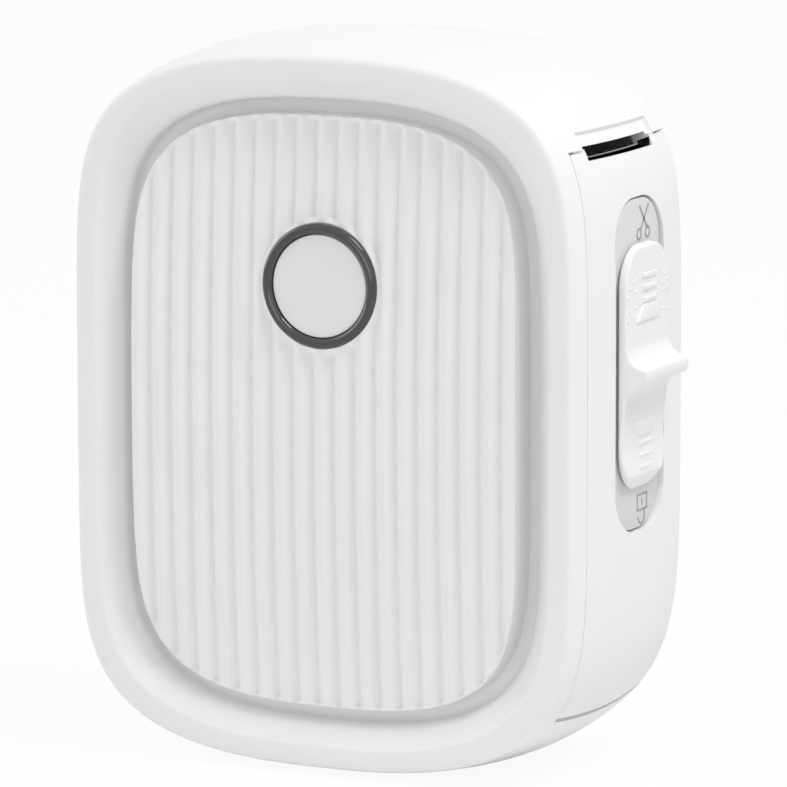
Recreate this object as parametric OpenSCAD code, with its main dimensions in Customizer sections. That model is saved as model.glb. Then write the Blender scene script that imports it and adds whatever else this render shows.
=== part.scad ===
// Hand-held thermal label printer, standing on its base.
// Design space: X to the right, Y from the front rim (0) to the back, Z up from mid-height.
// seat() then moves every piece so that Z = 0 is the base and Y = 0 is mid-depth.

/* [Body] */
// Half width of the outline at the front rim
front_half_w = 36.8; // [36:0.1:38]
// Half height of the outline at the front rim
front_half_h = 48.0; // [47:0.1:49]
// Depth from front rim to back face
depth = 34; // [34:0.5:36]
// How far the outline grows from front to back, half width
flare_w = 1.25; // [0:0.05:1.4]
// How far the outline grows from front to back, half height
flare_h = 0.9; // [0:0.1:1.2]
// Outward bow of the side walls at mid-depth
crown = 1.2; // [0.8:0.1:1.4]
// Wall thickness of the shells
wall = 2.2; // [2.0:0.1:2.4]
// How much of the bowed bottom is cut flat to stand on
base_flat = 0.55; // [0.4:0.05:0.8]

/* [Front panel] */
// Half width of the ribbed panel
panel_half_w = 28.5; // [27:0.1:29]
// Half height of the ribbed panel
panel_half_h = 40.0; // [39:0.1:41]
// Distance between two ribs
rib_pitch = 3.065; // [3:0.005:3.1]
// Number of ribs, the two edge ribs included
rib_count = 19; // [17:2:19]
// Rib height above the valley
rib_rise = 0.5; // [0.3:0.05:0.6]
// Radius of the panel's lengthwise bow
bow_radius = 454; // [400:1:500]
// Depth of the valleys at the panel's middle
valley_depth = 0.75; // [0.7:0.05:0.9]
// Depth of the moat floor that the panel sits on
moat_depth = 4.2; // [4:0.1:4.4]

/* [Button] */
// Height of the button above mid-height
button_z = 17.4; // [16:0.1:18]
// Outer radius of the dark ring
ring_r = 8.5; // [8.3:0.1:8.7]
// Inner radius of the dark ring
ring_bore_r = 7.05; // [7:0.05:7.2]
// Radius of the cap
cap_r = 6.9; // [6.7:0.05:6.95]
// Travel of the cap
cap_travel = 0.5; // [0.3:0.1:0.6]

/* [Side panel and label slot] */
// Front edge of the side panel
side_front = 4.2; // [4:0.1:4.6]
// Top edge of the side panel
side_top = 36.4; // [36:0.1:36.8]
// Bottom edge of the side panel at its front corner
side_bottom = -38.9; // [-39.5:0.1:-38.5]
// Gap along the parting line
seam = 0.35; // [0.25:0.05:0.45]
// Front end of the label slot
slot_front = 7.8; // [7:0.1:8.5]
// Back end of the label slot
slot_back = 26.8; // [26:0.1:27.5]
// Underside of the label slot
slot_low = 35.2; // [35:0.1:35.5]
// Top of the label slot
slot_high = 37.0; // [36.8:0.1:37.2]
// Depth of the shallow pocket above the slot
pocket_depth = 0.45; // [0.3:0.05:0.6]

/* [Slider] */
// Middle of the slider across the depth
slider_y = 18.8; // [18.5:0.1:19]
// Width of the slider pad
slider_w = 14.0; // [13.5:0.1:14.4]
// Lowest point of the pad at rest
slider_low = -9.7; // [-9.9:0.1:-9.3]
// Highest point of the pad at rest
slider_high = 23.3; // [23:0.1:23.6]
// Face of the pad, from the centre plane
pad_face = 39.5; // [39.3:0.1:39.7]
// Crest of the thumb fin, from the centre plane
fin_crest = 42.5; // [42:0.1:42.7]
// Recess floor, from the centre plane
recess_floor = 37.9; // [37.6:0.1:38]
// Width of the recess
recess_w = 15.2; // [15:0.1:15.6]
// Lower end of the recess
recess_low = -15.6; // [-15.8:0.1:-15]
// Upper end of the recess
recess_high = 29.4; // [29.2:0.1:29.6]
// Upward travel that cuts the label
travel_up = 5.0; // [4:0.1:5.2]
// Downward travel that frees the back door
travel_down = 4.5; // [3:0.1:4.6]

/* [Drive] */
// Gear module
gear_module = 0.5; // [0.5:0.1:0.5]
// Teeth of the motor pinion
pinion_teeth = 10; // [10:1:10]
// Teeth of the first gear's wheel
first_teeth = 40; // [40:1:40]
// Teeth of the second gear's wheel
second_teeth = 36; // [36:1:36]
// Teeth of the small row on both compound gears
small_teeth = 12; // [12:1:12]
// Teeth of the platen gear
platen_teeth = 24; // [24:1:24]
// Radius of the platen roller
platen_r = 4.0; // [3.8:0.1:4]
// Radius of the platen shaft
platen_shaft_r = 1.5; // [1.4:0.1:1.6]
// Radial running clearance
running = 0.05; // [0.03:0.01:0.08]

/* [Labels] */
// Outer radius of the label roll
roll_r = 14; // [8:0.5:14]
// Width of the label tape
tape_w = 13; // [12:0.5:13]

/* [Hidden] */

// The sides are straight near mid-height, so the outline has no points there.
ring_angles = [for (a = [0:5:355]) if (abs(sin(a)) > 0.25) a];
ring_steps = len(ring_angles);
side_power = 2.6;
panel_corner_r = 15;
panel_end_r = 102;
top_power = 6;
eps = 0.01;
base_z = front_half_h + flare_h / 2 + crown - base_flat;
front_wall_in = moat_depth + 2;
door_in = depth - 2;
hinge_x = -34.4;
hinge_r = 1.1;
hinge_pin_r = 0.5;
chassis_front = 10.4;
chassis_back = 11.6;
chassis_end = 30.2;
platen_pos = [23, 27.5];
second_pos = platen_pos - 9 * [cos(70), sin(70)];
first_pos = second_pos - 12 * [cos(80), sin(80)];
motor_pos = first_pos - 12.5 * [cos(45), sin(45)];
head_pivot = [13, 40];
roll_pos = [-8, 20.5];
core_r = 6;
axle_r = 0.75;
screw_r = 1.0;
chassis_screws = [[-22, 42.3], [8, 43.6], [-27, -8], [27, -12]];
board_screws = [[-20, -38], [6, -38]];
cell_r = 5.25;
cell_length = 44.5;
cell_x = -24;
cell_y = 22;
cell_rows = [-35.5, -24.7, -13.9];
spring_y = 28;
spring_x = 32.6;
spring_r = 1.2;
spring_wire_r = 0.16;

// Scale factor that puts a point at normalised angle a on the rounded outline.
function reach(a, p, q, lo = 0.9, hi = 1.45, n = 22) =
  let (mid = (lo + hi) / 2)
  n == 0 ? mid :
  pow(abs(mid * cos(a)), p) + pow(abs(mid * sin(a)), q) > 1 ?
  reach(a, p, q, lo, mid, n - 1) : reach(a, p, q, mid, hi, n - 1);
// The lower corners grow rounder towards the back.
function corner_power(a, y) = top_power - (sin(a) < 0 ? min(max(y / depth, 0), 1) : 0);
function bow(y) = crown * 4 * (y / depth) * (1 - y / depth);
function half_w(y) = front_half_w + flare_w * y / depth + bow(min(max(y, 0), depth));
function half_h(y) = front_half_h + flare_h * y / depth + bow(min(max(y, 0), depth));
function outline_2d(inset, y) = [for (a = ring_angles)
  let (r = reach(a, side_power, corner_power(a, y)))
  [r * cos(a) * (half_w(y) - inset), r * sin(a) * (half_h(y) - inset)]];

module seat() {
  translate([0, -depth / 2, base_z])
    children();
}

// Solid through a list of [inset, y] rings that follow the body outline.
module loft(profile) {
  rings = len(profile);
  points = [for (r = profile) for (p = outline_2d(r[0], r[1])) [p[0], r[1], p[1]]];
  sides = [for (r = [0:rings - 2]) for (i = [0:ring_steps - 1])
    let (j = (i + 1) % ring_steps, a = r * ring_steps, b = a + ring_steps)
    each [[a + i, b + j, b + i], [a + i, a + j, b + j]]];
  front_cap = [for (i = [ring_steps - 1:-1:0]) i];
  back_cap = [for (i = [0:ring_steps - 1]) (rings - 1) * ring_steps + i];
  polyhedron(points = points, faces = concat([front_cap, back_cap], sides), convexity = 4);
}

module outer_form() {
  loft([
    [0.9, 0], [0.25, 0.3], [0, 1], [0, 6], [0, 11.5], [0, 17],
    [0, 22.5], [0, 28], [0, 33], [0.3, 33.7], [0.9, depth]
  ]);
}

module inner_form(inset, from_y) {
  loft([[inset, from_y], [inset, 11.5], [inset, 17], [inset, 22.5], [inset, 28], [inset, 32.8], [inset - 0.7, depth + eps]]);
}

// Upright plate: an XZ outline between two depths.
module slab(y0, y1) {
  translate([0, y1, 0])
    rotate([90, 0, 0])
      linear_extrude(y1 - y0)
        children();
}

// Round bar along the depth at an XZ place.
module bar(pos, r, y0, y1) {
  translate([pos[0], y1, pos[1]])
    rotate([90, 0, 0])
      cylinder(r = r, h = y1 - y0, $fn = 48);
}

module block(low, high) {
  translate(low)
    cube(high - low);
}

module round_rect(w, h, r) {
  square([w - 2 * r, h], center = true);
  square([w, h - 2 * r], center = true);
  for (sx = [-1, 1], sy = [-1, 1])
    translate([sx * (w / 2 - r), sy * (h / 2 - r)])
      circle(r = r, $fn = 48);
}

// Rounded block pointing out of the right-hand side.
module side_pad(x0, x1, yc, z0, z1, w, r) {
  translate([x0, yc, (z0 + z1) / 2])
    rotate([90, 0, 90])
      linear_extrude(x1 - x0)
        round_rect(w, z1 - z0, r);
}

/* Shells */

// Opening of the side panel, its lower edge in step with the bowed outline.
module side_window(gap) {
  first = side_front - gap;
  last = depth + 1;
  translate([24, 0, 0])
    rotate([90, 0, 90])
      linear_extrude(36)
        polygon(concat(
          [[last, side_top + gap], [first, side_top + gap]],
          [for (t = [0:0.1:1]) let (y = first + (last - first) * t) [y, side_bottom * half_h(y) / half_h(side_front) - gap]]
        ));
}

module front_housing() {
  color("white") seat() {
    difference() {
      union() {
        difference() {
          outer_form();
          inner_form(wall, front_wall_in);
        }
        housing_bosses();
        door_lugs();
      }
      loft([[2.6, -1], [3.2, 0.5], [5.2, 3.3], [6.4, moat_depth]]);
      difference() {
        side_window(seam);
        loft([[wall + seam, front_wall_in - 3], [wall + seam, front_wall_in + 0.5]]);
      }
      block([24, slot_front, slot_low], [60, slot_back, slot_high]);
      difference() {
        block([24, slot_front - 0.3, slot_high - 0.2], [60, slot_back + 1.4, slot_high + 1.9]);
        loft([[pocket_depth, 5], [pocket_depth, 11.5], [pocket_depth, 17], [pocket_depth, 22.5], [pocket_depth, 30]]);
      }
      bar([0, button_z], ring_r + 0.05, moat_depth - 1, front_wall_in + 1);
      block([-60, -1, -base_z - 5], [60, depth + 1, -base_z]);
      for (p = chassis_screws)
        bar(p, screw_r, 7, chassis_front + 1);
      for (p = board_screws)
        bar(p, screw_r, 7, 10);
      for (s = [-1, 1])
        translate([hinge_x, depth, s * 12.5 - 6])
          cylinder(r = hinge_pin_r, h = 12, $fn = 32);
    }
  }
}

module housing_bosses() {
  for (p = chassis_screws)
    bar(p, 2.4, front_wall_in - 1, chassis_front);
  for (p = board_screws)
    bar(p, 2.4, front_wall_in - 1, 9);
}

module door_lugs() {
  for (s = [-1, 1]) {
    translate([hinge_x, depth, s * 16.25 - 2])
      cylinder(r = hinge_r, h = 4, $fn = 32);
    block([-37.0, depth - hinge_r, s * 16.25 - 2], [hinge_x, depth - 0.2, s * 16.25 + 2]);
  }
}

module front_panel() {
  color("whitesmoke") seat() {
    difference() {
      intersection() {
        slab(-2, moat_depth)
          round_rect(2 * panel_half_w, 2 * panel_half_h, panel_corner_r);
        for (s = [-1, 1])
          translate([0, 10, s * (panel_half_h - panel_end_r)])
            rotate([90, 0, 0])
              cylinder(r = panel_end_r, h = 20, $fn = 360);
        translate([0, valley_depth + bow_radius, 0])
          rotate([0, 90, 0])
            rotate([0, 0, 264])
              rotate_extrude(angle = 12, $fn = 720)
                rib_profile();
      }
      bar([0, button_z], ring_r + 0.05, -3, moat_depth + 1);
    }
  }
}

// Cross-section of the ribbed sheet, radius outward from the bow's centre.
module rib_profile() {
  side = rib_pitch * (rib_count - 1) / 2 + rib_pitch / 2;
  rib_curve = (pow(rib_pitch / 2, 2) + pow(rib_rise, 2)) / (2 * rib_rise);
  translate([bow_radius - 6, -side])
    square([6, 2 * side]);
  for (i = [0:rib_count - 1])
    translate([bow_radius + rib_rise - rib_curve, (i - (rib_count - 1) / 2) * rib_pitch])
      intersection() {
        circle(r = rib_curve, $fn = 96);
        translate([rib_curve - rib_rise - 1, -rib_pitch / 2])
          square([rib_rise + 1, rib_pitch]);
      }
}

module side_panel() {
  color("white") seat() {
    difference() {
      union() {
        intersection() {
          difference() {
            outer_form();
            inner_form(wall, 3);
          }
          side_window(0);
        }
        intersection() {
          outer_form();
          block([35.0, 9.5, -17], [39, 28.1, 31.5]);
        }
        for (z = [-12.2, 24.1])
          block([31.2, spring_y - 1.8, z], [36.6, spring_y + 1.8, z + 1.6]);
      }
      block([24, slot_front, slot_low], [60, slot_back, 60]);
      side_pad(recess_floor, 60, slider_y, recess_low, recess_high, recess_w, 6.2);
      block([30, slider_y - 2.8, slot_z0()], [60, slider_y + 2.8, slot_z1()]);
      pictograms();
    }
  }
}

stem_low = 3;
stem_high = 11;
function slot_z0() = stem_low - travel_down - 0.3;
function slot_z1() = stem_high + travel_up + 0.3;

// Open scissors at the top of the recess and an open padlock at the bottom, 0.25 deep.
module pictograms() {
  translate([recess_floor - 0.25, 0, 0])
    rotate([90, 0, 90])
      linear_extrude(1) {
        for (s = [-1, 1])
          translate([20.9, 26.3]) {
            rotate(s * 38)
              translate([-0.2, -1.7])
                square([0.4, 3.8]);
            translate([s * 1.4, -2.0])
              difference() {
                circle(r = 0.8, $fn = 24);
                circle(r = 0.42, $fn = 24);
              }
          }
        translate([20.75, -12])
          difference() {
            square([3.1, 2.2], center = true);
            circle(r = 0.35, $fn = 24);
          }
        translate([20.5, -13.6])
          intersection() {
            difference() {
              circle(r = 1.2, $fn = 24);
              circle(r = 0.85, $fn = 24);
            }
            translate([-1.2, -1.2])
              square([2.4, 1.2]);
          }
      }
}

/* Button */

module button_ring() {
  color("dimgray") seat()
    difference() {
      union() {
        bar([0, button_z], ring_r, 0, front_wall_in);
        bar([0, button_z], ring_r - 0.3, -0.2, 1);
      }
      bar([0, button_z], ring_bore_r, -1, front_wall_in + 1);
    }
}

module button_cap() {
  color("lightgray") seat() {
    bar([0, button_z], cap_r - 0.25, 0.25, 1);
    bar([0, button_z], cap_r, 0.5, 2.4);
    bar([0, button_z], 2.0, 2.3, 6.4);
  }
}

module button_switch() {
  color("black") seat() {
    block([-3, 7.7, button_z - 3], [3, 9.2, button_z + 3]);
    bar([0, button_z], 1.5, 7.05, 7.8);
  }
}

module button_board() {
  color("green") seat()
    block([-6.6, 9.2, 8.5], [6.6, chassis_front, 26.5]);
}

/* Slider, cutter and springs */

// The lower pad is dished, and its face lies a little behind the upper one.
low_face = pad_face - 0.2;
dish_low = slider_low + 2;
dish_high = 2.1;
dish_depth = 0.4;
fin_low = 5.2;
fin_high = 7.3;
slider_back = recess_floor + 0.25;

function slider_outline() = concat(
  [[slider_back, slider_low], [low_face - 0.9, slider_low]],
  [for (t = [0:0.1:1])
    [low_face - dish_depth * sin(180 * t), dish_low + (dish_high - dish_low) * t]],
  [for (a = [10:10:90])
    [low_face + (fin_crest - 0.1 - low_face) * (1 - cos(a)), dish_high + (fin_low - dish_high) * sin(a)]],
  [[fin_crest, fin_low + 0.4], [fin_crest, fin_high - 0.4]],
  [for (a = [0:10:90])
    [fin_crest - 0.2 - (fin_crest - 0.2 - pad_face) * sin(a), fin_high + 3 * (1 - cos(a))]],
  [[pad_face, slider_high - 0.7], [pad_face - 0.5, slider_high], [slider_back, slider_high]]
);

module slider() {
  color("white") seat() {
    intersection() {
      translate([0, slider_y + slider_w / 2, 0])
        rotate([90, 0, 0])
          linear_extrude(slider_w)
            polygon(slider_outline());
      side_pad(30, 60, slider_y, slider_low, slider_high, slider_w, 6.2);
    }
    grip_marks();
    block([34.6, slider_y - 2.5, stem_low], [slider_back + 0.1, slider_y + 2.5, stem_high]);
  }
}

module grip_marks() {
  for (z = [19.1, 17.5, 15.9, 13.3])
    side_pad(pad_face - 0.2, pad_face + 0.22, slider_y, z - 0.25, z + 0.25, z < 14 ? 7 : 4.3, 0.2);
  for (z = [-0.4, -3.6, -5.2, -6.8])
    side_pad(low_face - 0.6, low_face, slider_y, z - 0.25, z + 0.25, z > -1 ? 7 : 4.3, 0.2);
}

module slider_carriage() {
  color("gray") seat() {
    block([33.0, 10.4, -4], [34.6, 26.3, 18]);
    block([31.3, spring_y - 2.2, 4], [34.6, spring_y + 1.5, 10]);
    block([33.0, 21, -24], [34.6, 25, -4 + eps]);
  }
}

module blade_holder() {
  color("dimgray") seat()
    difference() {
      union() {
        block([31.3, 9, 14], [33.0, 25.8, 30.5]);
      }
      block([31.2, 12, 20], [33.1, 22.6, 27]);
    }
}

module cutter_blade() {
  color("silver") seat()
    translate([0, 25.6, 0])
      rotate([90, 0, 0])
        linear_extrude(16.4)
          polygon([[30.7, 22], [31.3, 22], [31.3, 32.0], [30.7, 33.4]]);
}

module cutter_anvil() {
  color("silver") seat()
    block([29.0, chassis_back, 34.3], [chassis_end, 26, 38.6]);
}

// Compression spring along Z between two heights.
module coil(z0, z1) {
  turns = 7;
  steps = 14 * turns;
  sides = 6;
  lift = z1 - z0 - 2 * spring_wire_r - 0.1;
  points = [for (i = [0:steps]) for (k = [0:sides - 1])
    let (a = 360 * turns * i / steps, b = 360 * k / sides, r = spring_r + spring_wire_r * cos(b))
    [r * cos(a), r * sin(a), z0 + 0.05 + spring_wire_r + lift * i / steps + spring_wire_r * sin(b)]];
  sides_list = [for (i = [0:steps - 1]) for (k = [0:sides - 1])
    let (m = (k + 1) % sides, a = i * sides, b = a + sides)
    each [[a + k, b + m, a + m], [a + k, b + k, b + m]]];
  first_cap = [for (k = [0:sides - 1]) k];
  last_cap = [for (k = [sides - 1:-1:0]) steps * sides + k];
  translate([spring_x, spring_y, 0])
    polyhedron(points = points, faces = concat([first_cap, last_cap], sides_list), convexity = 6);
}

module spring_upper() {
  color("silver") seat()
    coil(10, 24.1);
}

module spring_lower() {
  color("silver") seat()
    coil(-10.6, 4);
}

/* Back door */

module back_door() {
  color("white") seat() {
    difference() {
      union() {
        intersection() {
          slab(door_in, depth - 0.1)
            polygon(outline_2d(wall + seam, depth));
          block([hinge_x, 0, -60], [60, 60, 60]);
        }
        for (s = [-1, 1])
          translate([hinge_x, depth, s * 10 - 4])
            cylinder(r = hinge_r, h = 8, $fn = 32);
        block([28.6, 27.5, -36], [31.4, door_in + 1, -34.4]);
        block([24, door_in - 1.5, -28], [25.2, door_in + 1, 26]);
      }
      for (s = [-1, 1]) {
        translate([hinge_x, depth, s * 10 - 5])
          cylinder(r = hinge_pin_r + running, h = 10, $fn = 32);
        block([-40, door_in - 1, s * 16.25 - 2.3], [hinge_x + 1.4, depth + 1, s * 16.25 + 2.3]);
      }
      block([33.4, depth - 0.9, -9], [40, depth + 1, 9]);
    }
  }
}

module door_hinge_pins() {
  color("silver") seat()
    for (s = [-1, 1])
      translate([hinge_x, depth, s * 12.5 - 5.5])
        cylinder(r = hinge_pin_r, h = 11, $fn = 32);
}

/* Chassis, boards and cells */

module chassis() {
  color("silver") seat()
    difference() {
      union() {
        intersection() {
          slab(chassis_front, chassis_back)
            polygon(outline_2d(wall + 0.6, 11));
          block([-31, 0, -15.5], [chassis_end, 60, 60]);
        }
        block([27.4, chassis_back - eps, 21.5], [28.6, 28.2, 29]);
        block([20, 27.0, 21.5], [28.6, 28.2, 29.9]);
      }
      bar(platen_pos, 2.5, chassis_front - 1, 30);
      for (p = [first_pos, second_pos])
        bar(p, axle_r, chassis_front - 1, chassis_back + 1);
      bar(motor_pos, 2.0, chassis_front - 1, chassis_back + 1);
      bar(head_pivot, 1.0, chassis_front - 1, chassis_back + 1);
      for (p = chassis_screws)
        bar(p, screw_r, chassis_front - 1, chassis_back + 1);
    }
}

module main_board() {
  color("green") seat()
    difference() {
      block([-24, 9, -41], [10, 10.2, -17]);
      for (p = board_screws)
        bar(p, screw_r, 8, 11);
    }
}

module board_chips() {
  color("black") seat() {
    block([-14, 10.2, -34], [-6, 11.4, -26]);
    block([-2, 10.2, -32], [3, 11.2, -27]);
    block([-22, 10.2, -28], [-17, 11.6, -22]);
    block([5, 10.2, -24], [8, 12, -19]);
  }
}

module flat_cable() {
  color("orange") seat() {
    block([-3, 9.9, -17], [3, 10.2, 8.5]);
  }
}

module cell_tray() {
  color("dimgray") seat() {
    difference() {
      block([-25.8, 15.2, -41.5], [22.4, 25.5, -7.9]);
      for (z = cell_rows)
        translate([cell_x - 0.7, cell_y, z])
          rotate([0, 90, 0])
            cylinder(r = cell_r + 0.1, h = cell_length + 1.4, $fn = 64);
      block([-24.7, cell_y, -40.9], [21.2, 26, -8.5]);
    }
  }
}

module cells() {
  color("slategray") seat()
    for (z = cell_rows)
      translate([cell_x, cell_y, z])
        rotate([0, 90, 0]) {
          cylinder(r = cell_r, h = cell_length - 1, $fn = 64);
          cylinder(r = 1.9, h = cell_length, $fn = 32);
        }
}

module cell_contacts() {
  color("silver") seat()
    for (z = cell_rows) {
      block([cell_x - 0.6, cell_y - 3, z - 3], [cell_x - 0.1, cell_y + 3, z + 3]);
      block([cell_x + cell_length + 0.1, cell_y - 3, z - 3], [cell_x + cell_length + 0.6, cell_y + 3, z + 3]);
    }
}

module case_screws() {
  color("gray") seat() {
    for (p = chassis_screws)
      screw(p, chassis_back);
    for (p = board_screws)
      screw(p, 10.2);
  }
}

// Pan-head screw with a hexagon socket, its head seated at depth y.
module screw(p, y) {
  difference() {
    union() {
      bar(p, screw_r, y - 4, y + eps);
      bar(p, 1.9, y, y + 1.2);
    }
    translate([p[0], y + 1.3, p[1]])
      rotate([90, 0, 0])
        cylinder(r = 0.8, h = 0.9, $fn = 6);
  }
}

/* Motor, gears and platen */

function involute(a) = tan(a) * 180 / PI - a;
function flank_angle(teeth, r) =
  let (pitch_r = teeth * gear_module / 2, base_r = pitch_r * cos(25), a = r > base_r ? acos(base_r / r) : 0)
  90 / teeth * 0.9 + involute(25) - involute(a);

// Spur gear outline with a tooth centred on the angle given.
module gear_2d(teeth, tooth_at) {
  pitch_r = teeth * gear_module / 2;
  root_r = pitch_r - 1.1 * gear_module;
  tip_r = pitch_r + 0.8 * gear_module;
  base_r = max(pitch_r * cos(25), root_r + 0.05);
  radii = [root_r, base_r, pitch_r, (pitch_r + tip_r) / 2, tip_r];
  polygon([for (t = [0:teeth - 1]) each concat(
    [for (r = radii) let (a = tooth_at + 360 * t / teeth - flank_angle(teeth, r)) r * [cos(a), sin(a)]],
    [for (i = [len(radii) - 1:-1:0])
      let (a = tooth_at + 360 * t / teeth + flank_angle(teeth, radii[i])) radii[i] * [cos(a), sin(a)]]
  )]);
}

// Gear row at an XZ place between two depths.
module gear_row(pos, teeth, tooth_at, y0, y1) {
  translate([pos[0], y1, pos[1]])
    rotate([90, 0, 0])
      linear_extrude(y1 - y0)
        gear_2d(teeth, tooth_at);
}

first_line = 45;
second_line = 80;
third_line = 70;

module motor_can() {
  color("silver") seat()
    difference() {
      union() {
        bar(motor_pos, 5.5, chassis_back, 27);
        bar(motor_pos, 2, chassis_front + 0.2, chassis_back + eps);
      }
      bar(motor_pos, 0.5 + running, chassis_front - 1, 15);
    }
}

module motor_shaft() {
  color("silver") seat()
    bar(motor_pos, 0.5, 6.5, 14.8);
}

module motor_pinion() {
  color("goldenrod") seat()
    difference() {
      gear_row(motor_pos, pinion_teeth, first_line, 6.6, 7.6);
      bar(motor_pos, 0.5, 6, 8);
    }
}

module first_gear() {
  color("ivory") seat()
    difference() {
      union() {
        gear_row(first_pos, first_teeth, first_line + 180 + 180 / first_teeth, 6.6, 7.5);
        gear_row(first_pos, small_teeth, second_line, 7.4, 8.8);
      }
      bar(first_pos, axle_r + running, 6, 9);
    }
}

module second_gear() {
  color("ivory") seat()
    difference() {
      union() {
        gear_row(second_pos, second_teeth, second_line + 180 + 180 / second_teeth, 7.7, 8.7);
        gear_row(second_pos, small_teeth, third_line, 8.6, 10.1);
      }
      bar(second_pos, axle_r + running, 6, 11);
    }
}

module gear_axles() {
  color("silver") seat()
    for (p = [first_pos, second_pos])
      bar(p, axle_r, 6.3, chassis_back);
}

module platen_gear() {
  color("ivory") seat()
    difference() {
      gear_row(platen_pos, platen_teeth, third_line + 180 + 180 / platen_teeth, 8.95, 10.05);
      bar(platen_pos, platen_shaft_r, 8, 11);
    }
}

module platen_shaft() {
  color("silver") seat()
    bar(platen_pos, platen_shaft_r, 8.7, 28.6);
}

module platen_roller() {
  color("black") seat()
    difference() {
      bar(platen_pos, platen_r, 12.2, 26.6);
      bar(platen_pos, platen_shaft_r, 12, 27);
    }
}

module platen_bushes() {
  color("ivory") seat()
    for (y = [chassis_front, 27.0])
      difference() {
        bar(platen_pos, 2.5, y, y + 1.2);
        bar(platen_pos, platen_shaft_r + running, y - 1, y + 2);
      }
}

/* Print head */

module head_bracket() {
  color("silver") seat()
    difference() {
      union() {
        bar(head_pivot, 2.0, 12.2, 26.4);
        translate([0, 26.4, 0])
          rotate([90, 0, 0])
            linear_extrude(14.2)
              polygon([[13.6, 38.6], [17.2, 35.6], [27.4, 35.6], [27.4, 36.8], [18.0, 36.8], [14.6, 40.4]]);
      }
      bar(head_pivot, 1.0 + running, 12, 27);
    }
}

module head_pivot_pin() {
  color("silver") seat()
    bar(head_pivot, 1.0, chassis_front, 26.9);
}

module heat_sink() {
  color("silver") seat()
    difference() {
      block([18.6, 12.4, 33.2], [27.4, 26.2, 35.6]);
      for (x = [20:2:26])
        block([x, 12, 34.4], [x + 1, 27, 35.6 + eps]);
    }
}

module print_head() {
  color("saddlebrown") seat()
    block([19.6, 12.6, 31.85], [26.2, 26.0, 33.2]);
}

/* Label cassette */

tape_low = 12.6;
tape_high = tape_low + tape_w;

module cassette_case() {
  color("darkgray") seat() {
    difference() {
      block([-27, 11.8, 4.4], [13, tape_high + 1.3, 36.8]);
      block([-25.6, tape_low - 0.2, 5.8], [11.6, 40, 35.4]);
      block([11, tape_low - 0.2, 29.5], [14, 40, 36.9]);
    }
    bar(roll_pos, 4.0, tape_low - 0.3, tape_high + 0.4);
  }
}

module label_roll() {
  color("white") seat()
    difference() {
      bar(roll_pos, roll_r, tape_low, tape_high);
      bar(roll_pos, core_r, tape_low - 1, tape_high + 1);
    }
}

module roll_core() {
  color("tan") seat()
    difference() {
      bar(roll_pos, core_r, tape_low, tape_high);
      bar(roll_pos, 4.0 + running, tape_low - 1, tape_high + 1);
    }
}

// Tape from the roll's crown over the platen to just behind the blade.
module label_strip() {
  top = roll_pos[1] + roll_r;
  flat_z = platen_pos[1] + platen_r + 0.14;
  mid = [[-7, top + 0.14], [19.3, flat_z], [26.7, flat_z], [28.6, flat_z + 0.9]];
  color("white") seat()
    translate([0, tape_high, 0])
      rotate([90, 0, 0])
        linear_extrude(tape_w)
          polygon(concat(
            [for (p = mid) p - [0, 0.09]],
            [for (i = [3:-1:0]) mid[i] + [0, 0.09]]
          ));
}

front_housing();
front_panel();
button_ring();
button_cap();
button_board();
button_switch();
side_panel();
slider();
slider_carriage();
blade_holder();
cutter_blade();
cutter_anvil();
spring_upper();
spring_lower();
back_door();
door_hinge_pins();
chassis();
main_board();
board_chips();
flat_cable();
motor_can();
motor_shaft();
motor_pinion();
first_gear();
second_gear();
gear_axles();
platen_gear();
platen_shaft();
platen_roller();
platen_bushes();
head_bracket();
head_pivot_pin();
heat_sink();
print_head();
cassette_case();
label_roll();
roll_core();
label_strip();
cell_tray();
cells();
cell_contacts();
case_screws();
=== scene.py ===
"""Thermal label printer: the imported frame, dressed with its outer pieces and finishes."""

import math
from types import SimpleNamespace

import bmesh
import bpy
from mathutils import Matrix, Vector


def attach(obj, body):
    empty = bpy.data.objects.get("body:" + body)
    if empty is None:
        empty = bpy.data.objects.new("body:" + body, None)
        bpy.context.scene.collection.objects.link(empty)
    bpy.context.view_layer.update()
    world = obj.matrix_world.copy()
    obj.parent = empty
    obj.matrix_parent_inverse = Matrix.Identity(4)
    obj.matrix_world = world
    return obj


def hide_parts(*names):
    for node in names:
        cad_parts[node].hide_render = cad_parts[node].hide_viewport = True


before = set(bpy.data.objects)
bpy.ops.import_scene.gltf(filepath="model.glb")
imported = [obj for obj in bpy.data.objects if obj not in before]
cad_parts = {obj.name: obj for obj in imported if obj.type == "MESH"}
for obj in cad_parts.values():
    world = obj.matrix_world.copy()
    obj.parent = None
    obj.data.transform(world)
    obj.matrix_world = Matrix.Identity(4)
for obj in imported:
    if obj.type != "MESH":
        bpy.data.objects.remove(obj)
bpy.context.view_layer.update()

bl_info = {
    "name": "Thermal Label Printer",
    "version": (1, 0, 0),
    "blender": (4, 5, 0),
    "location": "View3D > Sidebar > Label Printer",
    "description": "Builds the outer pieces, finishes and studio of a hand-held thermal label printer",
    "category": "Object",
}

MM = 0.001
MID_DEPTH = 17.0
MID_HEIGHT = 49.1


# ---- settings


def length(name, description, default_mm):
    """A length property, kept in metres."""
    return bpy.props.FloatProperty(
        name=name, description=description, default=default_mm * MM, min=0.0, precision=5, unit="LENGTH")


def in_mm(group):
    """The lengths of a property group as plain millimetres."""
    return SimpleNamespace(**{key: getattr(group, key) / MM for key in group.__annotations__})


def shade(name, description, default):
    """A colour property, sRGB hex as text."""
    return bpy.props.StringProperty(name=name, description=description, default=default)


def power(name, description, default):
    """The power of one softbox in watts."""
    return bpy.props.FloatProperty(name=name, description=description, default=default, min=0.0, unit="POWER")


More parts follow.
